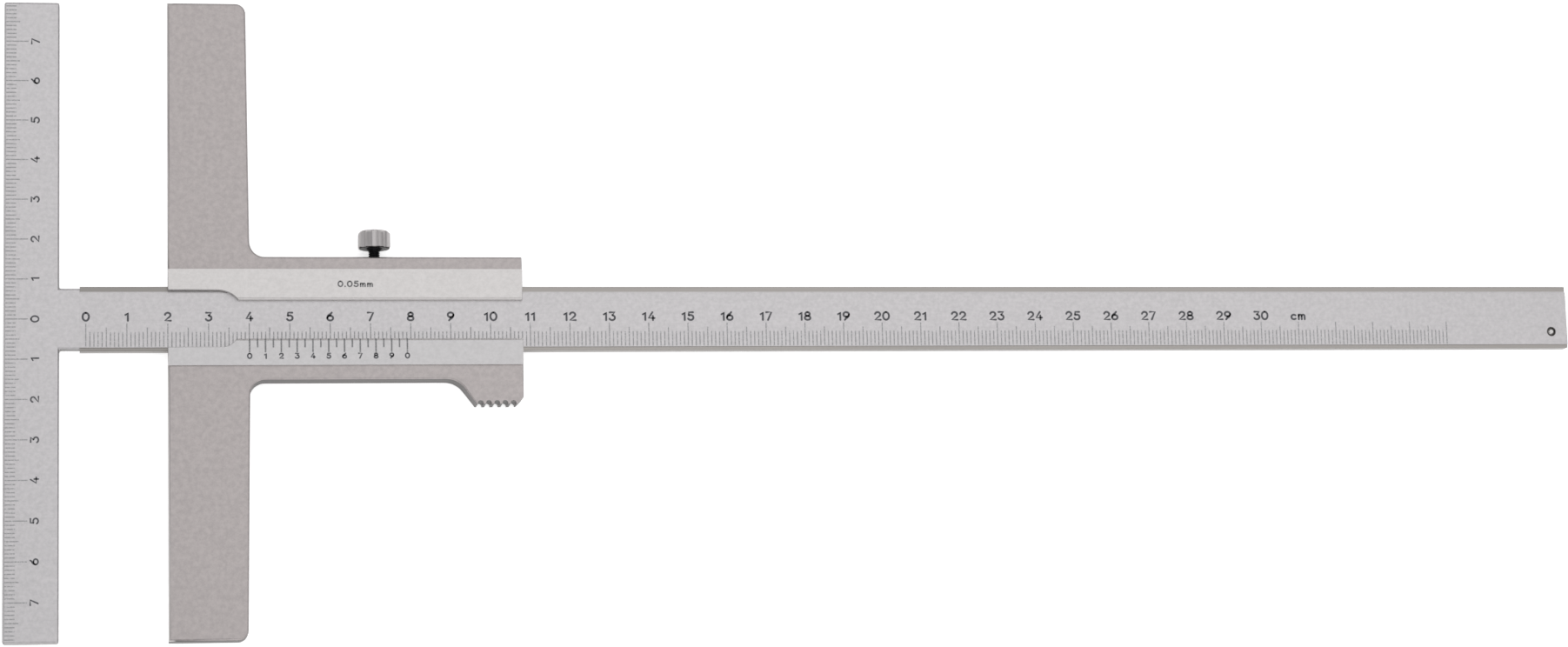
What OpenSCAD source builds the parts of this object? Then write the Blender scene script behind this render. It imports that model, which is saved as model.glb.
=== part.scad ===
// Marking caliper. A cross rule is welded across the end of a graduated beam, and a slide with a
// long bridge runs along the beam. The reading is the distance from the rule's outer edge to the
// bridge's front face. X runs along the beam, Y along the rule and Z out of the graduated face.
// The origin is the middle of the rule's outer edge face, halfway through its thickness.

/* [Cross rule] */
// Length of the cross rule
rule_len = 160; // [120:1:240]
// Width of the cross rule
rule_w = 13.5; // [10:0.5:20]
// Length of the tongue that joins the cross rule to the beam
tongue_len = 5; // [3:0.5:8]
// Step in from the beam's edge to the tongue's edge
tongue_step = 0.5; // [0.3:0.1:1.5]

/* [Beam] */
// Length of the beam behind the tongue
beam_len = 384.5; // [370:0.5:420]
// Width of the beam
beam_w = 16.2; // [15.5:0.1:18]
// Thickness of the beam and of the cross rule
beam_t = 3.5; // [3.4:0.1:5]
// Width of the lowered ledge along the upper edge of the beam's face
upper_ledge_w = 1.6; // [0.6:0.1:2]
// Width of the lowered ledge along the lower edge of the beam's face
lower_ledge_w = 0.9; // [0.6:0.1:2]
// Depth of the ledges below the face
ledge_drop = 0.35; // [0.2:0.05:0.6]

/* [Stop screw] */
// Distance from the beam's free end to the stop screw
stop_inset = 4.3; // [3.5:0.1:8]
// Distance of the stop screw below the beam's centre line
stop_offset = 3.8; // [0:0.1:4.5]
// Thread diameter of the stop screw
stop_d = 2.2; // [2:0.1:3]
// Diameter of the flat on the stop screw's tip
stop_tip_d = 1; // [0.8:0.1:1.6]
// Diameter of the stop screw's head
stop_head_d = 4.4; // [3.6:0.1:5.5]
// Height of the stop screw's head
stop_head_h = 1.3; // [1:0.1:1.8]

/* [Slide] */
// Reading at which the slide stands
reading = 40; // [14:1:280]
// Length of the slide along the beam
slide_len = 88; // [82:1:100]
// Width of the slide across the beam
slide_w = 31; // [29:0.5:38]
// Thickness of the wall behind the beam
back_wall_t = 2.45; // [2:0.05:4]
// Height of the slide's face above the beam's face
face_rise = 1; // [0.6:0.1:1.4]
// Running clearance between the beam and the slide
run_gap = 0.05; // [0.03:0.01:0.1]

/* [Bridge] */
// Length of the bridge
bridge_len = 160; // [120:1:240]
// Width of the bridge where it meets the slide
bridge_root_w = 20.1; // [16:0.1:26]
// Width of the bridge at its ends
bridge_end_w = 19.4; // [14:0.1:26]
// Radius of the bridge's rear corners
bridge_corner_r = 2.5; // [1:0.1:5]
// Radius of the inner corners between the bridge and the slide
bridge_fillet_r = 3.8; // [1.5:0.1:6]

/* [Thumb hook] */
// Depth of the hook below the slide's edge
hook_depth = 6.2; // [5:0.1:9]
// Slope of the hook's front, from the slide's edge
hook_slope = 52.6; // [45:0.2:70]
// Radius where the slope leaves the slide's edge
hook_r = 5.6; // [2:0.1:7]
// Chamfer on the hook's rear corner
hook_chamfer = 1.6; // [0.8:0.1:3]
// Number of teeth on the hook
tooth_count = 6; // [3:1:7]
// Distance from tooth to tooth
tooth_pitch = 2.05; // [1.8:0.05:2.3]
// Radius of the valleys between the teeth
valley_r = 0.7; // [0.5:0.05:0.85]
// Depth of the valleys
valley_depth = 0.85; // [0.5:0.05:1]

/* [Guide strips] */
// Thickness of the strips
strip_t = 1.6; // [1.5:0.1:2.5]
// Window edge of the upper strip, from the beam's centre line
upper_inner = 4.5; // [4:0.1:6]
// Outer edge of the upper strip, from the beam's centre line
upper_edge = 12.3; // [11.9:0.1:13.5]
// Window edge of the vernier plate, from the beam's centre line
vernier_inner = 5.2; // [4:0.1:6]
// Outer edge of the vernier plate, from the beam's centre line
vernier_edge = 11.9; // [11.1:0.1:13]
// Chamfer along the window's edges
window_chamfer = 0.5; // [0.2:0.1:1]
// Cut back of the upper strip beside the bridge
upper_throat_rise = 2.5; // [0.8:0.1:2.6]
// Length of the upper strip's cut back, up to its round end
upper_throat_len = 12.2; // [6:0.1:30]
// Radius of the round end of the upper cut back
upper_throat_r = 6.5; // [3:0.1:12]
// Cut back of the vernier plate beside the bridge
vernier_throat_rise = 2.1; // [0.8:0.1:2.5]
// Length of the vernier plate's cut back, up to its round end
vernier_throat_len = 13.3; // [6:0.1:30]
// Radius of the round end of the vernier plate's cut back
vernier_throat_r = 4; // [3:0.1:12]

/* [Strip screws] */
// Thread diameter of the screws that hold the strips
screw_d = 1.6; // [1.4:0.1:1.8]
// Head diameter of those screws
screw_head_d = 3; // [2.6:0.1:3.4]
// Depth of the screw heads below the slide's back
screw_sink = 0.1; // [0.05:0.05:0.3]
// Thread length in the strip
screw_grip = 1.1; // [0.9:0.05:1.3]
// Distance from the slide's ends to the outer screws
screw_inset = 6; // [4:0.5:10]

/* [Gib] */
// Length of the gib
gib_len = 60; // [56:1:64]
// Thickness of the gib
gib_t = 1; // [0.7:0.05:1.2]
// Height of the gib
gib_h = 3; // [2.4:0.1:3.2]
// Clearance between the gib and the beam with the lock screw eased
gib_gap = 0.05; // [0.03:0.01:0.1]
// Way that the gib can move out from there
gib_travel = 0.25; // [0.1:0.05:0.4]

/* [Gib set screws] */
// Thread diameter of the set screws
set_screw_d = 2.5; // [2:0.1:3]
// Distance of the set screws from the lock screw
set_screw_reach = 26; // [20:1:28]
// Depth of the set screws below the slide's edge
set_screw_sink = 0.4; // [0.2:0.1:1]

/* [Lock screw] */
// Distance of the lock screw from the slide's rear end
lock_inset = 36.8; // [33:0.1:40]
// Thread diameter of the lock screw
lock_d = 2.9; // [2.5:0.1:3]
// Gap between the slide's edge and the knob
knob_gap = 2.4; // [0.8:0.1:3]
// Diameter of the knob
knob_d = 8.4; // [6:0.1:8.4]
// Height of the knob
knob_h = 4.5; // [4:0.1:9]
// Chamfer on the knob's rims
knob_chamfer = 0.7; // [0.3:0.1:1]
// Number of rounded flutes round the knob
flute_count = 8; // [6:1:10]
// Depth of the flutes
flute_depth = 0.45; // [0.3:0.05:0.6]
// Radius of the flutes
flute_r = 1.2; // [0.6:0.05:1.4]
// Diameter of the screw's collar under the knob
collar_d = 4.2; // [3.6:0.1:5.5]
// Height of the collar
collar_h = 0.6; // [0.3:0.1:0.8]

/* [Hidden] */
$fn = 48;

// Overrun of every cut past the face that it opens
cut = 0.5;
// Clearance between pieces that are fitted together and stay put
fit_gap = 0.02;
// Depth of the driver slots as a share of the screw diameter, and their width likewise
slot_depth_share = 0.3;
slot_width_share = 0.2;
// Clearance of the gib's pocket past the gib's ends and behind its travel
pocket_end_gap = 0.2;
pocket_gap = 0.1;
// Clearance of the lock screw in its hole
lock_gap = 0.05;
// How far the lock screw reaches into the knob, as a share of the knob's height
knob_grip_share = 0.7;

rule_steel = [0.77, 0.76, 0.77];
slide_steel = [0.68, 0.66, 0.66];
strip_steel = [0.81, 0.8, 0.79];
black_steel = [0.08, 0.08, 0.09];
gib_bronze = [0.72, 0.55, 0.33];

// Heights: the beam and the rule are centred on Z = 0
beam_top = beam_t / 2;
slide_floor = -beam_top - run_gap;
slide_back = slide_floor - back_wall_t;
slide_face = beam_top + face_rise;
seat_z = beam_top + run_gap;

// Places across the beam
beam_half = beam_w / 2;
channel_half = beam_half + run_gap;
slide_half = slide_w / 2;
gib_inner = beam_half + gib_gap;
gib_outer = gib_inner + gib_t;
pocket_y = gib_outer + gib_travel + pocket_gap;
upper_screw_y = (pocket_y + upper_edge) / 2;
vernier_screw_y = -(channel_half + vernier_edge) / 2;

// Places along the beam
beam_start = rule_w + tongue_len;
beam_end = beam_start + beam_len;
lock_x = slide_len - lock_inset;
set_screw_xs = [lock_x - set_screw_reach, lock_x + set_screw_reach];
screw_xs = [
    screw_inset,
    lock_x - set_screw_reach / 2,
    lock_x + set_screw_reach / 2,
    slide_len - screw_inset
];

// A cross section drawn in Y and Z, run along X
module run_along_x(length) {
    rotate([90, 0, 90])
        linear_extrude(length)
            children();
}

// Turns a piece drawn upward from the origin to lie along Y, on the given X and Y
module point_along_y(x, y) {
    translate([x, y, 0])
        rotate([-90, 0, 0])
            children();
}

// A driver slot across a screw end that lies on Z = 0, below which the screw ends
module driver_slot(screw_diameter, across) {
    slot_w = screw_diameter * slot_width_share;
    slot_depth = screw_diameter * slot_depth_share;
    translate([-across / 2 - cut, -slot_w / 2, -cut])
        cube([across + 2 * cut, slot_w, slot_depth + cut]);
}

// Flat bar with a lowered ledge along both edges of its graduated face, and the stop screw's hole
module beam() {
    color(rule_steel)
        difference() {
            translate([beam_start, 0, 0])
                run_along_x(beam_len)
                    polygon([
                        [-beam_half, -beam_top],
                        [beam_half, -beam_top],
                        [beam_half, beam_top - ledge_drop],
                        [beam_half - upper_ledge_w, beam_top - ledge_drop],
                        [beam_half - upper_ledge_w, beam_top],
                        [lower_ledge_w - beam_half, beam_top],
                        [lower_ledge_w - beam_half, beam_top - ledge_drop],
                        [-beam_half, beam_top - ledge_drop]
                    ]);
            translate([beam_end - stop_inset, -stop_offset, -beam_top - cut])
                cylinder(h = beam_t + 2 * cut, d = stop_d + 2 * fit_gap);
        }
}

// Rule blade and tongue in one piece, butted against the beam's end, where the weld is ground flush
module cross_rule() {
    tongue_w = beam_w - 2 * tongue_step;
    color(rule_steel)
        translate([0, 0, -beam_top])
            linear_extrude(beam_t) {
                translate([0, -rule_len / 2])
                    square([rule_w, rule_len]);
                translate([0, -tongue_w / 2])
                    square([beam_start, tongue_w]);
            }
}

// Screw put in from the back, whose head stops the slide and whose pointed tip shows in the face
module stop_screw() {
    point_h = (stop_d - stop_tip_d) / 2;
    color(slide_steel)
        translate([beam_end - stop_inset, -stop_offset, -beam_top - stop_head_h])
            difference() {
                union() {
                    cylinder(h = stop_head_h, d = stop_head_d);
                    cylinder(h = stop_head_h + beam_t - point_h, d = stop_d);
                    translate([0, 0, stop_head_h + beam_t - point_h])
                        cylinder(h = point_h, d1 = stop_d, d2 = stop_tip_d);
                }
                driver_slot(stop_d, stop_head_d);
            }
}

// Outline of one arm of the bridge, from the beam's centre line to the arm's rounded end
module bridge_arm_outline() {
    arm_end = bridge_len / 2;
    taper = (bridge_root_w - bridge_end_w) / (arm_end - slide_half);
    round_x = bridge_end_w + taper * bridge_corner_r - bridge_corner_r;
    round_y = arm_end - bridge_corner_r;
    difference() {
        polygon([
            [0, 0],
            [bridge_root_w, 0],
            [bridge_root_w, slide_half],
            [bridge_end_w, arm_end],
            [0, arm_end]
        ]);
        difference() {
            translate([round_x, round_y])
                square(bridge_corner_r + cut);
            translate([round_x, round_y])
                circle(bridge_corner_r);
        }
    }
    translate([bridge_root_w - cut, slide_half - cut])
        difference() {
            square(bridge_fillet_r + cut);
            translate([bridge_fillet_r + cut, bridge_fillet_r + cut])
                circle(bridge_fillet_r);
        }
}

// Outline of the thumb hook, with its hollow shoulder and the valleys between its teeth
module hook_outline() {
    tip_y = -slide_half - hook_depth;
    first_tip_x = slide_len - hook_chamfer - (tooth_count - 1) * tooth_pitch;
    corner_x = first_tip_x - hook_depth / tan(hook_slope);
    tangent = min(hook_r * tan(hook_slope / 2), hook_depth / 2);
    shoulder_r = tangent / tan(hook_slope / 2);
    shoulder_x = corner_x - tangent;
    shoulder_y = -slide_half - shoulder_r;
    difference() {
        polygon([
            [shoulder_x, cut - slide_half],
            [shoulder_x, shoulder_y],
            [shoulder_x + shoulder_r * sin(hook_slope), shoulder_y + shoulder_r * cos(hook_slope)],
            [first_tip_x, tip_y],
            [slide_len - hook_chamfer, tip_y],
            [slide_len, tip_y + hook_chamfer],
            [slide_len, cut - slide_half]
        ]);
        translate([shoulder_x, shoulder_y])
            circle(shoulder_r);
        for (i = [0:tooth_count - 2])
            translate([first_tip_x + (i + 1 / 2) * tooth_pitch, tip_y + valley_depth - valley_r])
                circle(valley_r);
    }
}

// Outline of the whole slide body as seen from the front
module slide_outline() {
    translate([0, -slide_half])
        square([slide_len, slide_w]);
    bridge_arm_outline();
    mirror([0, 1])
        bridge_arm_outline();
    hook_outline();
}

// Clearance hole and countersink of one strip screw, from the slide's back
module screw_clearance(x, y) {
    sink_d = screw_head_d + 2 * screw_sink + 2 * fit_gap;
    translate([x, y, slide_back]) {
        cylinder(h = (screw_head_d - screw_d) / 2 + screw_sink, d1 = sink_d, d2 = screw_d + 2 * fit_gap);
        cylinder(h = seat_z - slide_back + cut, d = screw_d + 2 * fit_gap);
    }
}

// Milled body: back wall, two side walls, bridge and thumb hook, open in front for the two strips
module slide_body() {
    hole_len = slide_half - beam_half + cut;
    color(slide_steel)
        translate([reading, 0, 0])
            difference() {
                translate([0, 0, slide_back])
                    linear_extrude(slide_face - slide_back)
                        slide_outline();
                translate([-cut, -channel_half, slide_floor])
                    cube([slide_len + 2 * cut, 2 * channel_half, slide_face - slide_floor + cut]);
                translate([lock_x - gib_len / 2 - pocket_end_gap, 0, slide_floor])
                    cube([gib_len + 2 * pocket_end_gap, pocket_y, seat_z - slide_floor + cut]);
                translate([-cut, -vernier_edge - fit_gap, seat_z])
                    cube([
                        slide_len + 2 * cut,
                        vernier_edge + upper_edge + 2 * fit_gap,
                        slide_face - seat_z + cut
                    ]);
                for (x = screw_xs) {
                    screw_clearance(x, upper_screw_y);
                    screw_clearance(x, vernier_screw_y);
                }
                for (x = set_screw_xs)
                    point_along_y(x, beam_half)
                        cylinder(h = hole_len, d = set_screw_d + 2 * fit_gap);
                point_along_y(lock_x, beam_half)
                    cylinder(h = hole_len, d = lock_d + 2 * lock_gap);
            }
}

// Strip on the +Y side of the window, cut back beside the bridge, with blind holes for its screws
module guide_strip(inner, edge, screw_y, throat_rise, throat_len, throat_r) {
    throat_y = inner + throat_rise;
    round_run = sqrt(pow(throat_r, 2) - pow(throat_r - throat_rise, 2));
    color(strip_steel)
        translate([reading, 0, seat_z])
            difference() {
                run_along_x(slide_len)
                    polygon([
                        [inner, 0],
                        [edge, 0],
                        [edge, strip_t],
                        [inner + window_chamfer, strip_t],
                        [inner, strip_t - window_chamfer]
                    ]);
                translate([0, 0, -cut])
                    linear_extrude(strip_t + 2 * cut) {
                        translate([-cut, 0])
                            square([throat_len + cut, throat_y]);
                        intersection() {
                            translate([throat_len, throat_y - throat_r])
                                circle(throat_r);
                            translate([throat_len - cut, inner - cut])
                                square([round_run + 2 * cut, throat_rise + 2 * cut]);
                        }
                    }
                for (x = screw_xs)
                    translate([x, screw_y, -cut])
                        cylinder(h = screw_grip + fit_gap + cut, d = screw_d + 2 * fit_gap);
            }
}

module upper_guide_strip() {
    guide_strip(
        upper_inner, upper_edge, upper_screw_y,
        upper_throat_rise, upper_throat_len, upper_throat_r
    );
}

module vernier_plate() {
    mirror([0, 1, 0])
        guide_strip(
            vernier_inner, vernier_edge, -vernier_screw_y,
            vernier_throat_rise, vernier_throat_len, vernier_throat_r
        );
}

// Countersunk screw that comes from the slide's back and ends inside a strip
module strip_screw(x, y) {
    shank_len = seat_z - slide_back - screw_sink + screw_grip;
    color(slide_steel)
        translate([reading + x, y, slide_back + screw_sink])
            difference() {
                union() {
                    cylinder(h = (screw_head_d - screw_d) / 2, d1 = screw_head_d, d2 = screw_d);
                    cylinder(h = shank_len, d = screw_d);
                }
                driver_slot(screw_d, screw_head_d);
            }
}

// Bronze strip in the pocket beside the beam's upper edge, which the lock screw presses on
module gib() {
    color(gib_bronze)
        translate([reading + lock_x - gib_len / 2, gib_inner, -gib_h / 2])
            cube([gib_len, gib_t, gib_h]);
}

// Slotted set screw above the gib, sunk in the slide's upper edge, with a chamfered flat point
module gib_set_screw(x) {
    point_h = set_screw_d * slot_width_share;
    point_y = gib_outer + gib_travel + fit_gap;
    screw_len = slide_half - set_screw_sink - point_y;
    color(black_steel)
        point_along_y(reading + x, point_y)
            difference() {
                union() {
                    cylinder(h = point_h, d1 = set_screw_d - 2 * point_h, d2 = set_screw_d);
                    translate([0, 0, point_h])
                        cylinder(h = screw_len - point_h, d = set_screw_d);
                }
                translate([0, 0, screw_len])
                    mirror([0, 0, 1])
                        driver_slot(set_screw_d, set_screw_d);
            }
}

// Fluted knob with chamfered rims, bored from below for the lock screw
module lock_knob() {
    knob_r = knob_d / 2;
    color(strip_steel)
        point_along_y(reading + lock_x, slide_half + knob_gap)
            difference() {
                intersection() {
                    linear_extrude(knob_h)
                        difference() {
                            circle(knob_r);
                            for (i = [1:flute_count])
                                rotate(i * 360 / flute_count)
                                    translate([knob_r - flute_depth + flute_r, 0])
                                        circle(flute_r);
                        }
                    rotate_extrude()
                        polygon([
                            [0, 0],
                            [knob_r - knob_chamfer, 0],
                            [knob_r, knob_chamfer],
                            [knob_r, knob_h - knob_chamfer],
                            [knob_r - knob_chamfer, knob_h],
                            [0, knob_h]
                        ]);
                }
                translate([0, 0, -cut])
                    cylinder(h = knob_h * knob_grip_share + cut, d = lock_d);
            }
}

// Blackened screw whose tip bears on the gib, with a conical collar under the knob
module lock_screw() {
    knob_y = slide_half + knob_gap;
    color(black_steel)
        point_along_y(reading + lock_x, gib_outer) {
            cylinder(h = knob_y + knob_h * knob_grip_share - gib_outer, d = lock_d);
            translate([0, 0, knob_y - collar_h - gib_outer])
                cylinder(h = collar_h, d1 = lock_d, d2 = collar_d);
        }
}

beam();
cross_rule();
stop_screw();
slide_body();
upper_guide_strip();
vernier_plate();
for (i = [0:3]) {
    strip_screw(screw_xs[i], upper_screw_y);
    strip_screw(screw_xs[i], vernier_screw_y);
}
gib();
gib_set_screw(set_screw_xs[0]);  // gib_set_screw_1
gib_set_screw(set_screw_xs[1]);  // gib_set_screw_2
lock_knob();
lock_screw();
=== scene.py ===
"""A vernier marking gauge lying on its back: cross rule, beam, sliding bridge and lock screw, in metres."""

import bmesh
import bpy
import numpy as np
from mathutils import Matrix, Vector


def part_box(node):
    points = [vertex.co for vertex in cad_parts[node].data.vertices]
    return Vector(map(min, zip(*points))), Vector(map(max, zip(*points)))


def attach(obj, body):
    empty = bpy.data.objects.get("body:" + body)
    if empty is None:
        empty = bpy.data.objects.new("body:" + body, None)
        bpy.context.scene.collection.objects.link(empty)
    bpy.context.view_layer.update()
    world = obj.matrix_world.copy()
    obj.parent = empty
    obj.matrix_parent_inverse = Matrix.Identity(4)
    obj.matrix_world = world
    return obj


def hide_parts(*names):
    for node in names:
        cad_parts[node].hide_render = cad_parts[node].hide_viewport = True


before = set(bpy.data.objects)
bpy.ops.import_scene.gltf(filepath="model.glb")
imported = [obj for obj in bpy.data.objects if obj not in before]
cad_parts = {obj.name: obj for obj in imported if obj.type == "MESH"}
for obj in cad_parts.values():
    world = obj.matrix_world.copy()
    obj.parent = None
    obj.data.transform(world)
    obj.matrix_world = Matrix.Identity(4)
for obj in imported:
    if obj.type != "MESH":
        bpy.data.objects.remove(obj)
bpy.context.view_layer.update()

# Cross rule: a blade of hardened stainless steel, fine ground and satin chromed, butt-welded across
# the beam's end by its short tongue. The scriber runs along its outer edge, and its lines and
# numerals are engraved and filled with black.
mm = 0.001
near = 0.01 * mm
sharp_turn = 30
flat_turn = 0.3
crisp_share = 0.02
blade_edge = 0.50 * mm
blade_low, blade_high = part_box("cross_rule")
blade_edge_x = blade_low.x
weld_x, graduated_z = blade_high.x, blade_high.z
# Painted shade: the blade's sides are coloured darker than its face.
rule_pale, rule_dull, rule_side_painted_shade = (0.471, 0.456, 0.462), (0.398, 0.388, 0.392), (0.24, 0.232, 0.228)


def softened(node, name, round_width, share=None, merge=0.001 * mm):
    """A copy of a CAD node with its doubles merged and its flat neighbours joined. Every edge that turns
    by more than 30 degrees is rounded by a Bevel modifier, as wide as round_width times the share that
    share() gives for the edge's middle and its direction."""
    solid = bmesh.new()
    solid.from_mesh(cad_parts[node].data)
    bmesh.ops.remove_doubles(solid, verts=solid.verts, dist=merge)
    bmesh.ops.dissolve_limit(solid, angle_limit=np.radians(flat_turn), verts=solid.verts, edges=solid.edges)
    weight = solid.edges.layers.float.new("bevel_weight_edge")
    for edge in solid.edges:
        edge.smooth = bool(edge.calc_face_angle(0) < np.radians(sharp_turn))
        if not edge.smooth:
            start, end = (corner.co for corner in edge.verts)
            edge[weight] = share((start + end) / 2, (end - start).normalized()) if share else 1
    for face in solid.faces:
        face.smooth = True
    mesh = bpy.data.meshes.new(name)
    solid.to_mesh(mesh)
    solid.free()
    piece = bpy.data.objects.new(name, mesh)
    bpy.context.scene.collection.objects.link(piece)
    bevel = piece.modifiers.new("rounded edges", "BEVEL")
    bevel.limit_method = "WEIGHT"
    bevel.width = round_width
    bevel.segments = 2
    bevel.harden_normals = True
    bevel.use_clamp_overlap = False
    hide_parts(node)
    return piece


class Socket:
    """An output socket of a finish's node, with the arithmetic that a formula on it needs."""

    def __init__(self, finish, socket):
        self.finish = finish
        self.socket = socket

    def math(self, operation, first, second=0.0):
        return self.finish.node("ShaderNodeMath", {"operation": operation}, {0: first, 1: second})

    def __add__(self, other):
        return self.math("ADD", self, other)

    __radd__ = __add__

    def __sub__(self, other):
        return self.math("SUBTRACT", self, other)

    def __rsub__(self, other):
        return self.math("SUBTRACT", other, self)

    def __mul__(self, other):
        return self.math("MULTIPLY", self, other)

    __rmul__ = __mul__

    def __abs__(self):
        return self.math("ABSOLUTE", self)


class Finish:
    """A material under construction. Every node comes from node(), and steps() and tint() name two uses."""

    def __init__(self, name):
        self.material = bpy.data.materials.new(name)
        self.material.use_nodes = True
        self.tree = self.material.node_tree
        self.tree.nodes.clear()

    def node(self, kind, settings=None, sockets=None, output=0):
        """A node of a kind: its settings are set first, then the values or links of its input sockets. The
        result is one of its outputs, unless output is None."""
        made = self.tree.nodes.new(kind)
        for name, value in (settings or {}).items():
            setattr(made, name, value)
        for key, value in (sockets or {}).items():
            if isinstance(value, Socket):
                self.tree.links.new(value.socket, made.inputs[key])
            else:
                made.inputs[key].default_value = value
        return None if output is None else Socket(self, made.outputs[output])

    def place(self):
        """Object coordinates, in metres."""
        return self.node("ShaderNodeTexCoord", output="Object")

    def stretched(self, scale, turn=(0, 0, 0), centre=(0, 0, 0)):
        """Object coordinates about a centre, turned and then scaled along each axis."""
        moved = self.node("ShaderNodeMapping", {"vector_type": "POINT"}, {
            "Vector": self.place(), "Location": [-c for c in centre]})
        return self.node("ShaderNodeMapping", {"vector_type": "TEXTURE"}, {
            "Vector": moved, "Rotation": turn, "Scale": [1 / s for s in scale]})

    def noise(self, where, scale, detail=2.0, roughness=0.5):
        """Noise between 0 and 1 with bumps about one scale'th of a unit apart."""
        return self.node("ShaderNodeTexNoise", {"noise_dimensions": "3D"}, {
            "Vector": where, "Scale": scale, "Detail": detail, "Roughness": roughness})

    def axis(self, vector, letter):
        return self.node("ShaderNodeSeparateXYZ", sockets={"Vector": vector}, output=letter)

    def steps(self, value, low, high):
        """0 below low, 1 above high, and a smooth step between."""
        return self.node("ShaderNodeMapRange", {"interpolation_type": "SMOOTHSTEP"}, {
            "Value": value, "From Min": low, "From Max": high})

    def tint(self, share, first, second):
        """The first colour where share is 0 and the second where it is 1."""
        colours = {key: colour if isinstance(colour, Socket) else (*colour, 1)
                   for key, colour in ((6, first), (7, second))}
        return self.node("ShaderNodeMix", {"data_type": "RGBA"}, {0: share, **colours}, output=2)

    def relief(self, height, depth, strength=1.0):
        """A bump of that depth in metres where height goes from 0 to 1."""
        return self.node("ShaderNodeBump", sockets={
            "Height": height, "Distance": depth, "Strength": strength})

    def shade(self, **sockets):
        """Ends the finish in a Principled shader with these sockets and returns the material."""
        shader = self.node("ShaderNodeBsdfPrincipled", sockets={
            name.replace("_", " "): (*value, 1) if isinstance(value, tuple) else value
            for name, value in sockets.items()})
        self.node("ShaderNodeOutputMaterial", None, {"Surface": shader}, None)
        return self.material


def ground_steel(name, pale, dull, side, gloss=0.36, bare_below=None, bare_from=None, bright=None):
    """Fine ground steel: grain drawn along the beam, small cloudy patches, and sides in a colour of their
    own, painted shade where it is darker than the face and painted light where it is lighter. Lower than
    bare_below and further out in Y than bare_from it is bare metal, darker towards the rule end in X.
    Chamfers at 45 degrees can be given a painted highlight."""
    finish = Finish(name)
    grain = finish.noise(finish.stretched((120, 2600, 2600)), 1.0, 3.0)
    speck = finish.noise(finish.place(), 5200, 2.0)
    cloud = finish.noise(finish.place(), 1000, 4.0, 0.7)
    upright = abs(finish.axis(finish.node("ShaderNodeTexCoord", output="Normal"), "Z"))
    face = finish.steps(upright, 0.2, 0.6)
    blend = finish.steps(cloud * 0.6 + grain * 0.15 + speck * 0.25, 0.34, 0.66)
    colour = finish.tint(blend, dull, pale)
    if bare_below:
        low = 1 - finish.steps(finish.axis(finish.place(), "Z"), bare_below - 0.04 * mm, bare_below)
        outer = finish.steps(abs(finish.axis(finish.place(), "Y")), bare_from, bare_from + 0.06 * mm)
        streak = finish.noise(finish.stretched((30, 5200, 400)), 1.0, 2.0)
        darker_bare_metal = finish.tint(streak, (0.205, 0.195, 0.185), (0.275, 0.262, 0.248))
        lighter_bare_metal = finish.tint(streak, (0.255, 0.241, 0.228), (0.335, 0.317, 0.302))
        # The bare metal is darker below x = 36 mm, towards the rule, and lighter past 62 mm.
        past_rule_end = finish.steps(finish.axis(finish.place(), "X"), 36 * mm, 62 * mm)
        colour = finish.tint(low * outer, colour, finish.tint(past_rule_end, darker_bare_metal, lighter_bare_metal))
    # Sides, found by the normal, get their own colour: painted shade where darker than the face, painted
    # light where lighter.
    colour = finish.tint(face, finish.tint(grain, side, [0.82 * c for c in side]), colour)
    # Painted highlight: chamfers at about 45 degrees are tinted to the bright colour.
    if bright:
        cut = finish.steps(upright, 0.45, 0.6) * (1 - finish.steps(upright, 0.85, 0.95))
        colour = finish.tint(cut, colour, bright)
    return finish.shade(
        Base_Color=colour,
        Metallic=1.0,
        Roughness=gloss + 0.06 * (grain - 0.5) + 0.10 * (1 - face) + 0.06 * (speck - 0.5),
        Normal=finish.relief(grain * 0.4 + speck * 0.6, 0.003 * mm, 0.5),
    )


def blade_rim(at, _):
    """The blade's edges are rounded, but those at the weld are left crisp."""
    return crisp_share if at.x > weld_x - near else 1.0


blade = softened("cross_rule", "rule_blade", blade_edge, blade_rim)
blade.data.materials.append(ground_steel("rule_chrome", rule_pale, rule_dull, rule_side_painted_shade))
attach(blade, "beam")

line_depth = 0.05 * mm
line_rise = 0.012 * mm
rule_line_width = 0.27 * mm
rule_line_start = 0.5 * mm
rule_line_lengths = {1: 3.0 * mm, 5: 3.9 * mm, 10: 5.95 * mm}
rule_numeral_x = 7.65 * mm
rule_numeral_height = 1.85 * mm
rule_numeral_wide = 1.25
rule_numeral_stroke = 0.40 * mm


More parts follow.
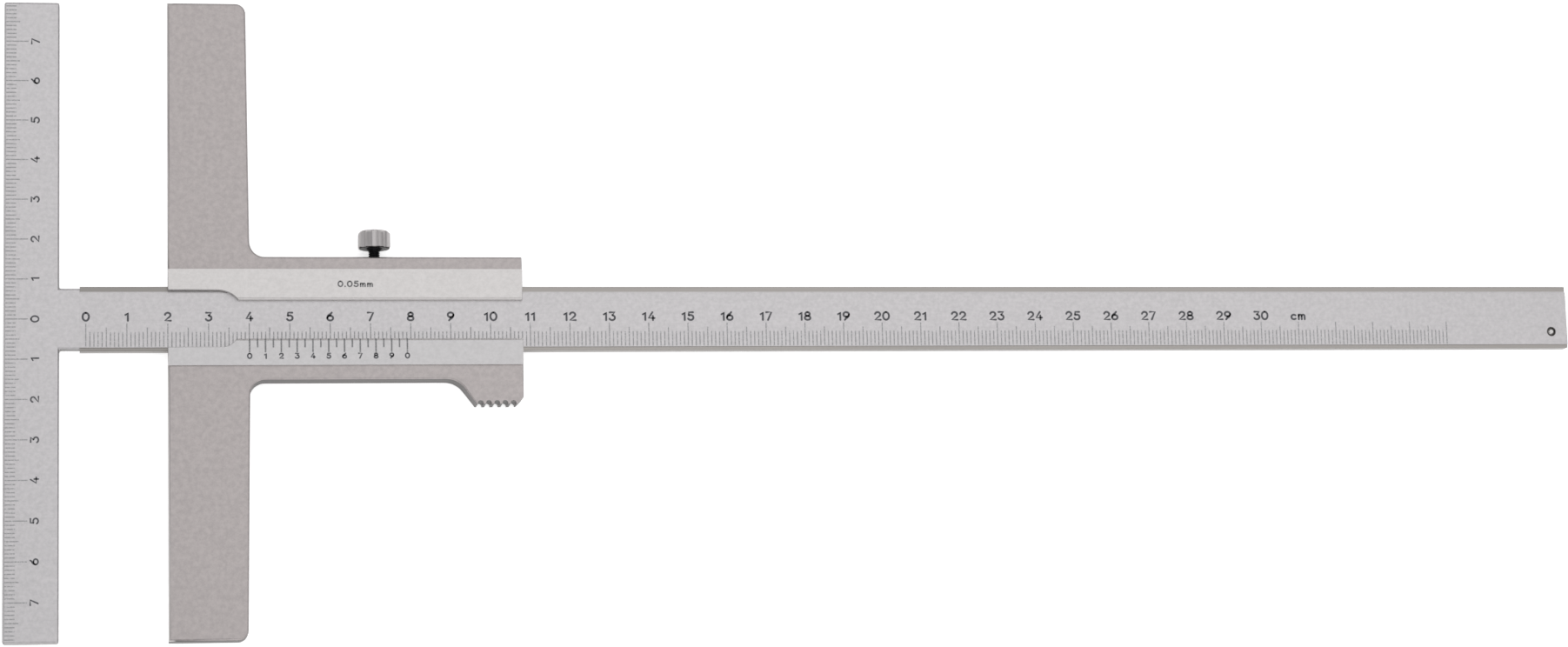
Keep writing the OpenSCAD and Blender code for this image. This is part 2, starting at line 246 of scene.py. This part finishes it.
def ribbons(name, paths, normals, width, round_ends):
    """One mesh of flat closed ribbons. Each path's points are moved sideways by half the width and up or
    down along the normal, which gives a ring of four corners at each point. Towards a round end the half
    width shrinks as the height of a half circle does."""
    corners, quads, first = [], [], 0
    for path, normal in zip(paths, normals):
        normal = np.broadcast_to(normal, path.shape)
        ahead = np.gradient(path, axis=0)
        ahead /= np.linalg.norm(ahead, axis=1)[:, None]
        half = np.full(len(path), width / 2)
        if round_ends:
            back = width / 2 * np.cos(np.radians([0, 30, 60, 80]))
            lead = [path[0] - ahead[0] * b for b in back]
            tail = [path[-1] + ahead[-1] * b for b in back[::-1]]
            cap = width / 2 * np.sin(np.radians([12, 30, 60, 80]))
            path = np.vstack([lead, path, tail])
            normal = np.vstack([np.repeat(normal[:1], 4, 0), normal, np.repeat(normal[-1:], 4, 0)])
            ahead = np.vstack([np.repeat(ahead[:1], 4, 0), ahead, np.repeat(ahead[-1:], 4, 0)])
            half = np.concatenate([cap, half, cap[::-1]])
        side = np.cross(normal, ahead)
        side *= (half / np.linalg.norm(side, axis=1))[:, None]
        low, high = path - normal * line_depth, path + normal * line_rise
        rings = np.stack([low - side, low + side, high + side, high - side], axis=1)
        count = len(path)
        start = first + 4 * np.arange(count - 1)[:, None]
        for a, b in ((0, 1), (1, 2), (2, 3), (3, 0)):
            quads.append(np.hstack([start + a, start + b, start + b + 4, start + a + 4]))
        last = first + 4 * (count - 1)
        ring = np.arange(4)
        quads.append(np.array([first + ring[::-1], last + ring]))
        corners.append(rings.reshape(-1, 3))
        first += 4 * count
    mesh = bpy.data.meshes.new(name)
    mesh.from_pydata(np.vstack(corners), [], np.vstack(quads).tolist())
    piece = bpy.data.objects.new(name, mesh)
    bpy.context.scene.collection.objects.link(piece)
    return piece


def arc(centre, radii, start, end, count=14):
    """Points of an ellipse: the centre plus the radii times cosine and sine of an angle in even steps."""
    angle = np.radians(np.linspace(start, end, count))
    return np.column_stack([centre[0] + radii[0] * np.cos(angle), centre[1] + radii[1] * np.sin(angle)])


def strokes_of(sign):
    """The strokes of one engraved sign, drawn 1 high with its foot at 0, and how wide it is."""
    line = lambda *points: np.array(points, float)
    if sign == "9":
        strokes, wide = strokes_of("6")
        return [[wide, 1] - stroke for stroke in strokes], wide
    return {
        "0": ([arc((0.31, 0.5), (0.31, 0.5), 90, 450, 24)], 0.62),
        "1": ([line((0.04, 0.74), (0.27, 1.0), (0.27, 0.0))], 0.34),
        "2": ([np.vstack([arc((0.29, 0.70), (0.27, 0.30), 170, -38),
                          line((0.02, 0.0), (0.60, 0.0))])], 0.60),
        "3": ([np.vstack([line((0.04, 1.0), (0.55, 1.0), (0.27, 0.61)),
                          arc((0.28, 0.31), (0.29, 0.31), 90, -155)])], 0.58),
        "4": ([line((0.40, 1.0), (0.02, 0.26), (0.62, 0.26)), line((0.45, 0.52), (0.45, 0.0))], 0.62),
        "5": ([np.vstack([line((0.53, 1.0), (0.12, 1.0), (0.08, 0.57)),
                          arc((0.28, 0.32), (0.29, 0.32), 125, -155)])], 0.58),
        "6": ([arc((0.29, 0.30), (0.29, 0.30), 90, 450, 20),
               np.vstack([line((0.44, 1.0)), arc((0.70, 0.30), (0.70, 0.62), 122, 180, 8)])], 0.58),
        "7": ([line((0.02, 1.0), (0.56, 1.0), (0.20, 0.0))], 0.56),
        "8": ([arc((0.29, 0.76), (0.23, 0.24), 90, 450, 20),
               arc((0.29, 0.26), (0.29, 0.26), 90, 450, 20)], 0.58),
        "c": ([arc((0.29, 0.30), (0.27, 0.30), 48, 312)], 0.52),
        "m": ([line((0.04, 0.0), (0.04, 0.60)),
               np.vstack([arc((0.20, 0.42), (0.16, 0.18), 180, 0, 8), line((0.36, 0.0))]),
               np.vstack([arc((0.52, 0.42), (0.16, 0.18), 180, 0, 8), line((0.68, 0.0))])], 0.72),
        ".": ([line((0.05, 0.0), (0.05, 0.05))], 0.10),
    }[sign]


def lettered(text, height, middle, right, up, gap=0.26):
    """The strokes of a text whose middle is at a point of the model, drawn along right and up."""
    signs = [strokes_of(sign) for sign in text]
    widths = np.array([wide for _, wide in signs])
    starts = np.concatenate([[0], np.cumsum(widths + gap)[:-1]]) - (widths.sum() + gap * (len(text) - 1)) / 2
    right, up = np.array(right, float), np.array(up, float)
    return [np.array(middle) + height * ((stroke[:, :1] + start) * right + (stroke[:, 1:] - 0.5) * up)
            for (strokes, _), start in zip(signs, starts) for stroke in strokes]


def graduation(step, lengths):
    """The length of the line at a whole step: the longest that the step is a multiple of."""
    return max(length for every, length in lengths.items() if step % every == 0)


def engraving_black(name, paint):
    """Matt black filling of engraved lines, a little thin and grey in places."""
    finish = Finish(name)
    thin = finish.noise(finish.place(), 2400, 3.0)
    return finish.shade(
        Base_Color=finish.tint(finish.steps(thin, 0.45, 0.75), paint, [1.9 * c for c in paint]),
        Roughness=0.55 + 0.2 * thin,
        Normal=finish.relief(thin, 0.004 * mm, 0.4),
    )


def engraved(piece, finish, body):
    """Gives a mesh of strokes its filling and puts it on a body."""
    piece.data.materials.append(finish)
    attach(piece, body)


numeral_black = engraving_black("numeral_black", (0.070, 0.071, 0.077))
line_grey = engraving_black("line_grey", (0.29, 0.29, 0.293))
outward = (0, 0, 1)
rule_steps = np.arange(-79, 80)
rule_centimetres = range(-7, 8)
rule_paths = [np.array([
    [blade_edge_x + rule_line_start, k * mm, graduated_z],
    [blade_edge_x + graduation(abs(k), rule_line_lengths), k * mm, graduated_z],
]) for k in rule_steps]
engraved(ribbons("rule_lines", rule_paths, [outward] * len(rule_paths), rule_line_width, False),
         line_grey, "beam")
rule_strokes = [stroke for k in rule_centimetres for stroke in lettered(
    str(abs(k)), rule_numeral_height, (rule_numeral_x, k * 10 * mm, graduated_z),
    (0, rule_numeral_wide, 0), (-1, 0, 0))]
engraved(ribbons("rule_numerals", rule_strokes, [outward] * len(rule_strokes), rule_numeral_stroke, True),
         numeral_black, "beam")

# Beam: a ground and satin-chromed steel bar with a lowered ledge along both edges of its face, so that
# the slide never rubs the scale. The ledges are bare metal, darker towards the rule end.
beam_edge = 0.20 * mm
ledge_ys = (-7.2 * mm, 6.5 * mm)
ledge_fall = 0.04 * mm
bare_from_y = 6.8 * mm
# Painted shade: the beam's sides are coloured darker than its face.
beam_pale, beam_dull, beam_side_painted_shade = (0.467, 0.452, 0.457), (0.394, 0.383, 0.387), (0.34, 0.325, 0.315)


def beam_rim(at, _):
    """The beam's edges are rounded, but those at the weld and the ledges' inner ones are left crisp."""
    crisp = at.x < weld_x + near or min(abs(at.y - y) for y in ledge_ys) < near
    return crisp_share if crisp else 1.0


beam_bar = softened("beam", "beam_bar", beam_edge, beam_rim)
beam_bar.data.materials.append(ground_steel(
    "beam_chrome", beam_pale, beam_dull, beam_side_painted_shade,
    bare_below=graduated_z - ledge_fall, bare_from=bare_from_y))
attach(beam_bar, "beam")

scale_zero_x = 20 * mm
scale_length = 350
scale_line_foot = -7.0 * mm
scale_line_tops = {1: -3.3 * mm, 5: -2.2 * mm, 10: -1.15 * mm}
scale_line_width = 0.27 * mm
scale_numeral_height = 1.98 * mm
scale_numeral_wide = 1.25
scale_numeral_y = 0.52 * mm
scale_numeral_stroke = 0.50 * mm
scale_numerals = 31
unit_step = 31
scale_paths = [np.array([
    [scale_zero_x + k * mm, scale_line_foot, graduated_z],
    [scale_zero_x + k * mm, graduation(k, scale_line_tops), graduated_z],
]) for k in range(scale_length + 1)]
engraved(ribbons("beam_lines", scale_paths, [outward] * len(scale_paths), scale_line_width, False),
         line_grey, "beam")
scale_texts = [(str(k), k) for k in range(scale_numerals)] + [("cm", unit_step)]
scale_strokes = [stroke for text, k in scale_texts for stroke in lettered(
    text, scale_numeral_height, (scale_zero_x + k * 10 * mm, scale_numeral_y, graduated_z),
    (scale_numeral_wide, 0, 0), (0, 1, 0))]
engraved(ribbons("beam_numerals", scale_strokes, [outward] * len(scale_strokes), scale_numeral_stroke, True),
         numeral_black, "beam")

# Stop screw: a small turned screw put in from the back at the beam's free end, slotted and seated.
# Its head keeps the slide on the beam, and its cone-shaped tip shows as a bright dot in the face.
screw_edge = 0.06 * mm


def turned_steel(name, colour, centre, axis, gloss=0.30, shaded_below=None):
    """Turned steel: fine rings round the piece's axis, from the distance to it, and a few darker specks.
    Below the given height in Y the colour is darkened towards black, painted shade under the piece."""
    finish = Finish(name)
    scale = [0 if letter == axis else 1 for letter in "XYZ"]
    from_axis = finish.node("ShaderNodeMapping", {"vector_type": "POINT"}, {
        "Vector": finish.place(), "Scale": scale, "Location": [-c * s for c, s in zip(centre, scale)]})
    distance = finish.node("ShaderNodeVectorMath", {"operation": "LENGTH"}, {0: from_axis}, output="Value")
    ring = 0.5 + 0.5 * distance.math("SINE", distance * (2 * np.pi / (0.16 * mm)))
    speck = finish.noise(finish.place(), 3500, 3.0)
    blend = finish.steps(ring * 0.4 + speck * 0.6, 0.3, 0.7)
    surface = finish.tint(blend, [0.78 * c for c in colour], colour)
    # Painted shade: below the given Y the colour falls to 0.12 of itself.
    if shaded_below:
        bright = finish.steps(finish.axis(finish.place(), "Y"), shaded_below, shaded_below + 0.2 * mm)
        surface = finish.tint(bright, [0.12 * c for c in colour], surface)
    return finish.shade(
        Base_Color=surface,
        Metallic=1.0,
        Roughness=gloss + 0.14 * (speck - 0.5),
        Normal=finish.relief(ring, 0.004 * mm, 0.6),
    )


stop_low, stop_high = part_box("stop_screw")
stop_screw = softened("stop_screw", "beam_stop_screw", screw_edge)
stop_screw.data.materials.append(
    turned_steel("stop_screw_steel", (0.52, 0.51, 0.50), (stop_low + stop_high) / 2, "Z"))
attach(stop_screw, "beam")

# Slide body: milled from one block of stainless steel, with the long bridge, the channel for the beam
# and the serrated thumb hook, then blasted with beads to a matt grey. Its rims are chamfered.
slide_low, slide_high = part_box("slide_body")
strip_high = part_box("upper_guide_strip")[1]
vernier_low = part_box("vernier_plate")[0]
slide_end_x = slide_high.x
half_height_z = (slide_low.z + slide_high.z) / 2
tooth_y = -20.7 * mm
tail_x = slide_low.x + 60 * mm
rim_round = 0.55 * mm
back_share = 0.4
tail_share = 0.3
step_merge = 0.045 * mm
blasted_pale, blasted_dull = (0.454, 0.418, 0.411), (0.374, 0.346, 0.341)
# Painted shade for the body's sides, darker still where they face the lower side; the last colour is the
# ground front, its rim painted light.
blasted_side_painted_shade, lower_side_painted_shade, ground_front_and_lit_rim = (0.20, 0.19, 0.185), (0.105, 0.099, 0.096), (0.62, 0.60, 0.59)


def slide_rim(at, along):
    """How wide each of the slide's edges is rounded: widest along the front rim, less along the back and
    the upright corners, least at the strips' seats, and none at the teeth, the holes and inside."""
    in_front, at_back = at.z > slide_high.z - near, at.z < slide_low.z + near
    at_ends = at.x < slide_low.x + near or at.x > slide_end_x - near
    if at.y < tooth_y and at.x > tail_x:
        return 0.0
    if in_front and at.y > strip_high.y and at.x > slide_end_x - near:
        return tail_share
    if abs(along.z) > 0.9:
        return back_share if abs(at.z - half_height_z) < near and at.x > tail_x else 0.0
    if vernier_low.y - 0.1 * mm < at.y < strip_high.y + 0.1 * mm:
        return crisp_share if in_front else back_share if at_back and at_ends else 0.0
    return 1.0 if in_front else back_share if at_back else 0.0


def blasted_steel(name, pale, dull, side, lower_shade, front_and_lit_rim, gloss=0.50):
    """Bead-blasted steel: a fine pebbled surface, cloudy patches, and painted shade on the sides and rims,
    darkest on those that face the lower side. The bridge's front, which faces the rule, is ground bright,
    and that bright colour is painted light on its rim."""
    finish = Finish(name)
    pebble = finish.noise(finish.place(), 3600, 3.0, 0.6)
    cloud = finish.noise(finish.place(), 800, 4.0, 0.7)
    normal = finish.node("ShaderNodeTexCoord", output="Normal")
    face = finish.steps(abs(finish.axis(normal, "Z")), 0.2, 0.6)
    behind = finish.steps(finish.axis(finish.place(), "X"), slide_low.x + 1 * mm, slide_low.x + 2 * mm)
    forward = finish.steps(0 - finish.axis(normal, "X"), 0.3, 0.7) * (1 - behind)
    blend = finish.steps(cloud * 0.6 + pebble * 0.4, 0.34, 0.66)
    lower = finish.steps(0 - finish.axis(normal, "Y"), 0.3, 0.7)
    # Painted shade: sides darker than the face, darkest where they face the lower side.
    colour = finish.tint(face, finish.tint(lower, side, lower_shade), finish.tint(blend, dull, pale))
    # The bridge's -X front is ground bright; the same colour on its rim is painted light.
    return finish.shade(
        Base_Color=finish.tint(forward, colour, front_and_lit_rim),
        Metallic=1.0,
        Roughness=gloss + 0.10 * (pebble - 0.5),
        Normal=finish.relief(pebble, 0.012 * mm, 0.6),
    )


body = softened("slide_body", "sliding_bridge", rim_round, slide_rim, step_merge)
body.data.materials.append(
    blasted_steel("blasted_steel", blasted_pale, blasted_dull, blasted_side_painted_shade, lower_side_painted_shade, ground_front_and_lit_rim))
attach(body, "slide")

# Upper guide strip: a fine ground steel strip screwed on from behind. It closes the channel above the
# window and carries the vernier's unit, engraved and blacked.
strip_edge = 0.14 * mm
strip_gloss = 0.33
rounded_depth = 0.7 * mm
seat_share = 0.05
# Painted light: the strips' sides are coloured brighter than their faces.
strip_pale, strip_dull, strip_side_painted_light = (0.502, 0.486, 0.479), (0.444, 0.430, 0.423), (0.92, 0.90, 0.89)
unit_middle = (86.25 * mm, 8.5 * mm)
unit_height = 1.30 * mm
unit_wide = 1.35
unit_stroke = 0.36 * mm
unit_gap = 0.30


def strip_rim(at, _):
    """The strips are rounded along the edges of their faces and chamfers only, and least beside the body."""
    beside_body = at.y > strip_high.y - near or at.y < vernier_low.y + near
    return 0.0 if at.z < strip_high.z - rounded_depth else seat_share if beside_body else 1.0


guide = softened("upper_guide_strip", "guide_strip", strip_edge, strip_rim)
guide.data.materials.append(ground_steel("strip_steel", strip_pale, strip_dull, strip_side_painted_light, strip_gloss))
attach(guide, "slide")
unit_strokes = lettered(
    "0.05mm", unit_height, (*unit_middle, strip_high.z), (unit_wide, 0, 0), (0, 1, 0), unit_gap)
engraved(ribbons("vernier_unit", unit_strokes, [outward] * len(unit_strokes), unit_stroke, True),
         engraving_black("worn_black", (0.13, 0.13, 0.133)), "slide")

# Vernier plate: the matching strip below the window. Its 21 lines run down a small bevel onto the beam's
# scale, 39 mm of which they divide by 20.
vernier_zero_x = 60 * mm
vernier_pitch = 1.95 * mm
vernier_divisions = 20
vernier_line_foot = {1: -7.5 * mm, 2: -8.7 * mm}
vernier_line_width = 0.38 * mm
vernier_bevel = 0.5 * mm
vernier_numeral_y = -9.6 * mm
vernier_numeral_height = 1.2 * mm
vernier_numeral_wide = 1.3
vernier_numeral_stroke = 0.36 * mm
# The last colour is a painted highlight for the vernier plate's 45-degree chamfers.
plate_pale, plate_dull, chamfer_painted_highlight = (0.445, 0.435, 0.437), (0.393, 0.385, 0.386), (0.88, 0.86, 0.85)
window_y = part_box("vernier_plate")[1].y
plate = softened("vernier_plate", "vernier_strip", strip_edge, strip_rim)
plate.data.materials.append(ground_steel(
    "plate_steel", plate_pale, plate_dull, strip_side_painted_light, strip_gloss, bright=chamfer_painted_highlight))
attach(plate, "slide")
slope = np.array([0, np.sqrt(0.5), np.sqrt(0.5)])
vernier_paths, vernier_normals = [], []
for k in range(vernier_divisions + 1):
    line_x = vernier_zero_x + k * vernier_pitch
    foot = vernier_line_foot[2 if k % 2 == 0 else 1]
    brow = (line_x, window_y - vernier_bevel, strip_high.z)
    vernier_paths.append(np.array([(line_x, window_y, strip_high.z - vernier_bevel), brow]))
    vernier_normals.append(slope)
    vernier_paths.append(np.array([brow, (line_x, foot, strip_high.z)]))
    vernier_normals.append(outward)
engraved(ribbons("vernier_lines", vernier_paths, vernier_normals, vernier_line_width, False),
         engraving_black("vernier_grey", (0.18, 0.18, 0.183)), "slide")
vernier_strokes = [stroke for k in range(vernier_divisions // 2 + 1) for stroke in lettered(
    str(k % 10), vernier_numeral_height,
    (vernier_zero_x + 2 * k * vernier_pitch, vernier_numeral_y, strip_high.z),
    (vernier_numeral_wide, 0, 0), (0, 1, 0))]
engraved(ribbons("vernier_numerals", vernier_strokes, [outward] * len(vernier_strokes),
                 vernier_numeral_stroke, True),
         numeral_black, "slide")

# Strip screws: eight slotted countersunk screws of turned steel, put in from the slide's back, four
# for each strip. They end inside the strips, so that nothing shows in front.
for row in ("upper_strip", "vernier_plate"):
    for k in range(1, 5):
        node = f"{row}_screw_{k}"
        low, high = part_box(node)
        screw = softened(node, f"{row}_fixing_{k}", screw_edge)
        screw.data.materials.append(turned_steel(f"{node}_steel", (0.50, 0.49, 0.48), (low + high) / 2, "Z"))
        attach(screw, "slide")

# Gib: a strip of rolled bronze between the beam's upper edge and the slide. The lock screw presses it
# onto the beam.
gib_edge = 0.08 * mm
bronze = Finish("rolled_bronze")
rolled = bronze.noise(bronze.stretched((60, 3000, 1800)), 1.0, 3.0)
tarnish = bronze.steps(bronze.noise(bronze.place(), 420, 4.0, 0.6), 0.35, 0.7)
gib_bronze = bronze.shade(
    Base_Color=bronze.tint(tarnish, (0.62, 0.38, 0.16), (0.44, 0.25, 0.10)),
    Metallic=1.0,
    Roughness=0.30 + 0.16 * tarnish,
    Normal=bronze.relief(rolled, 0.006 * mm, 0.5),
)
gib = softened("gib", "bronze_gib", gib_edge)
gib.data.materials.append(gib_bronze)
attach(gib, "gib")

# Gib set screws: two blackened slotted grub screws in the slide's upper edge. They limit the gib's play
# and are adjusted once.
blackened = Finish("blackened_steel")
soot = blackened.noise(blackened.place(), 2600, 4.0, 0.6)
rub = blackened.steps(soot, 0.62, 0.80)
black_steel = blackened.shade(
    Base_Color=blackened.tint(rub, (0.012, 0.012, 0.014), (0.060, 0.058, 0.056)),
    Metallic=0.6,
    Roughness=0.42 - 0.12 * rub,
    Normal=blackened.relief(soot, 0.006 * mm, 0.5),
)
for k in (1, 2):
    grub = softened(f"gib_set_screw_{k}", f"grub_screw_{k}", screw_edge)
    grub.data.materials.append(black_steel)
    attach(grub, "slide")

# Lock screw: a blackened M3 screw with a cone-shaped collar that carries the knob. Its tip bears on
# the gib, and its thread shows between the slide and the collar.
screw_low, screw_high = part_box("lock_screw")
lock_x = (screw_low.x + screw_high.x) / 2
collar_top_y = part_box("lock_knob")[0].y
collar_height = 0.6 * mm
collar_r = (screw_high.x - screw_low.x) / 2
thread_r = 1.45 * mm
thread_pitch = 0.5 * mm
thread_depth = 0.27 * mm
tip_taper = 0.4 * mm
collar_step = 0.08 * mm
hidden_reach = 0.5 * mm
shank_sides = 48


def turned_about_y(name, centre_x, heights, radii):
    """A closed surface round a line along Y: at each height the radii give the distance from the line for
    every angle, and the first and last rings are closed to a point on the line."""
    turns = radii.shape[1]
    angle = np.linspace(0, 2 * np.pi, turns, endpoint=False)
    ring = np.stack([centre_x + radii * np.sin(angle), np.broadcast_to(heights[:, None], radii.shape),
                     radii * np.cos(angle)], axis=-1)
    ends = np.array([[centre_x, heights[0], 0], [centre_x, heights[-1], 0]])
    points = np.vstack([ring.reshape(-1, 3), ends])
    row, column = np.meshgrid(np.arange(len(heights) - 1), np.arange(turns), indexing="ij")
    a, b = row * turns + column, row * turns + (column + 1) % turns
    quads = np.stack([a, b, b + turns, a + turns], axis=-1).reshape(-1, 4)
    here, after = np.arange(turns), (np.arange(turns) + 1) % turns
    top = (len(heights) - 1) * turns
    first, last = len(points) - 2, len(points) - 1
    fans = np.vstack([np.stack([after, here, np.full(turns, first)], -1),
                      np.stack([top + here, top + after, np.full(turns, last)], -1)])
    mesh = bpy.data.meshes.new(name)
    mesh.from_pydata(points, [], quads.tolist() + fans.tolist())
    mesh.shade_smooth()
    mesh.set_sharp_from_angle(angle=np.radians(35))
    piece = bpy.data.objects.new(name, mesh)
    bpy.context.scene.collection.objects.link(piece)
    return piece


thread_y = np.arange(screw_low.y, collar_top_y - collar_height, thread_pitch / 12)
shank_angle = np.linspace(0, 2 * np.pi, shank_sides, endpoint=False)
turn_share = (thread_y[:, None] / thread_pitch - shank_angle / (2 * np.pi)) % 1
crest = np.clip(2.6 * np.abs(turn_share - 0.5) - 0.15, 0, 1)
shank_radii = thread_r - thread_depth * crest
tip = np.clip((thread_y - screw_low.y) / tip_taper, 0, 1)[:, None]
shank_radii = np.minimum(shank_radii, thread_r - tip_taper * (1 - tip))
collar_y = collar_top_y + np.array([-collar_height, -collar_step, 0, hidden_reach])
collar_radii = np.array([thread_r, collar_r, collar_r, collar_r])[:, None] * np.ones(shank_sides)
lock_screw = turned_about_y(
    "lock_screw_shank", lock_x, np.concatenate([thread_y, collar_y]), np.vstack([shank_radii, collar_radii]))
lock_screw.data.materials.append(black_steel)
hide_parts("lock_screw")
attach(lock_screw, "lock_screw")

# Lock knob: turned from bright steel and pressed onto the lock screw, with eight milled flutes for the
# fingers, chamfered rims, turning marks on its flat top and painted shade on its underside.
knob_low, knob_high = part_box("lock_knob")
knob_r = (knob_high.x - knob_low.x) / 2
knob_chamfer = 0.7 * mm
knob_foot_chamfer = 0.35 * mm
knob_rounding = 0.16 * mm
knob_bore = 0.3 * mm
# Painted shade: the knob's bottom 0.1 mm is coloured near black.
knob_shade_y = knob_low.y + 0.1 * mm
knob_gloss = 0.44
flute_count = 8
flute_depth = 0.5 * mm
flute_r = 1.7 * mm


def rounded_line(corners, radius, count=5):
    """A line through the corners in which each inner corner gives way to a parabola that starts and ends
    one radius from it."""
    line = [corners[:1]]
    for before, corner, after in zip(corners[:-2], corners[1:-1], corners[2:]):
        start = corner + (before - corner) * radius / np.linalg.norm(before - corner)
        end = corner + (after - corner) * radius / np.linalg.norm(after - corner)
        t = np.linspace(0, 1, count)[:, None]
        line.append((1 - t) ** 2 * start + 2 * t * (1 - t) * corner + t ** 2 * end)
    return np.vstack(line + [corners[-1:]])


profile = rounded_line(np.array([
    (knob_bore, knob_low.y),
    (knob_r - knob_foot_chamfer, knob_low.y),
    (knob_r, knob_low.y + knob_foot_chamfer),
    (knob_r, knob_high.y - knob_chamfer),
    (knob_r - knob_chamfer, knob_high.y),
    (knob_bore, knob_high.y),
]), knob_rounding)
dense = np.linspace(0, len(profile) - 1, 3 * len(profile))
profile_r = np.interp(dense, np.arange(len(profile)), profile[:, 0])
profile_y = np.interp(dense, np.arange(len(profile)), profile[:, 1])
knob_angle = np.linspace(0, 2 * np.pi, 480, endpoint=False)
off_flute = (knob_angle + np.pi / 2 + np.pi / flute_count) % (2 * np.pi / flute_count) - np.pi / flute_count
flute_centre = knob_r - flute_depth + flute_r
under_root = flute_r ** 2 - (flute_centre * np.sin(off_flute)) ** 2
flute_wall = flute_centre * np.cos(off_flute) - np.sqrt(np.maximum(under_root, 0))
fluted_r = np.minimum(np.where(under_root > 0, flute_wall, knob_r), knob_r)
knob = turned_about_y("fluted_knob", lock_x, profile_y, np.minimum(profile_r[:, None], fluted_r))
knob.data.materials.append(turned_steel(
    "knob_steel", (0.52, 0.50, 0.495), (lock_x, 0, 0), "Y", knob_gloss, knob_shade_y))
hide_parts("lock_knob")
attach(knob, "lock_screw")

# Studio: the gauge lies on its back on a pale sheet, under one broad softbox overhead and two lower
# ones, on the near side and at the left, and the camera looks down on it.
floor_z = slide_low.z
floor_half = 1.6
ground = bpy.data.meshes.new("floor")
ground.from_pydata([
    (-floor_half, -floor_half, floor_z),
    (floor_half, -floor_half, floor_z),
    (floor_half, floor_half, floor_z),
    (-floor_half, floor_half, floor_z),
], [], [(0, 1, 2, 3)])
floor = bpy.data.objects.new("floor", ground)
bpy.context.scene.collection.objects.link(floor)
paper = Finish("pale_paper")
seen = paper.node("ShaderNodeLightPath", output="Is Camera Ray")
mirrored = paper.node("ShaderNodeLightPath", output="Is Glossy Ray")
through = paper.node("ShaderNodeLightPath", output="Is Transmission Ray")
sheet = paper.node("ShaderNodeBsdfDiffuse", sockets={"Color": (0.92, 0.92, 0.92, 1)})
glow = paper.node("ShaderNodeEmission", sockets={"Color": (1, 1, 1, 1), "Strength": 0.60})
lifted = paper.node("ShaderNodeAddShader", sockets={0: sheet, 1: glow})
shown = paper.node("ShaderNodeMixShader", sockets={0: seen + mirrored + through, 1: sheet, 2: lifted})
paper.node("ShaderNodeOutputMaterial", None, {"Surface": shown}, None)
ground.materials.append(paper.material)


def softbox(name, place, target, width, height, radiance):
    """A rectangular lamp that faces a target. Its watts are its radiance times pi times its area."""
    lamp = bpy.data.lights.new(name, "AREA")
    lamp.shape = "RECTANGLE"
    lamp.size, lamp.size_y = width, height
    lamp.energy = radiance * np.pi * width * height
    light = bpy.data.objects.new(name, lamp)
    light.location = place
    light.rotation_euler = (Vector(target) - Vector(place)).to_track_quat("-Z", "Y").to_euler()
    bpy.context.scene.collection.objects.link(light)


softbox("overhead_softbox", (0.40, 0.18, 1.15), (0.22, 0.02, 0), 1.9, 1.3, 1.05)
softbox("near_fill", (0.2, -1.1, 0.45), (0.2, 0, 0), 1.8, 0.8, 1.1)
softbox("left_fill", (-1.1, 0, 0.45), (0.1, 0, 0), 0.9, 0.8, 0.9)
world = bpy.data.worlds.new("studio")
bpy.context.scene.world = world
world.use_nodes = True
world.node_tree.nodes["Background"].inputs["Color"].default_value = (0.42, 0.42, 0.43, 1)
world.node_tree.nodes["Background"].inputs["Strength"].default_value = 1.0

camera_data = bpy.data.cameras.new("camera")
camera_data.sensor_width = 36
camera_data.lens = 89.85
camera_data.clip_start = 0.05
camera = bpy.data.objects.new("camera", camera_data)
camera.location = (0.0326, -0.1547, 0.9705)
camera.rotation_euler = np.radians([9.125, -9.251, -1.561])
bpy.context.scene.collection.objects.link(camera)
bpy.context.scene.camera = camera
bpy.context.scene.view_settings.view_transform = "Standard"
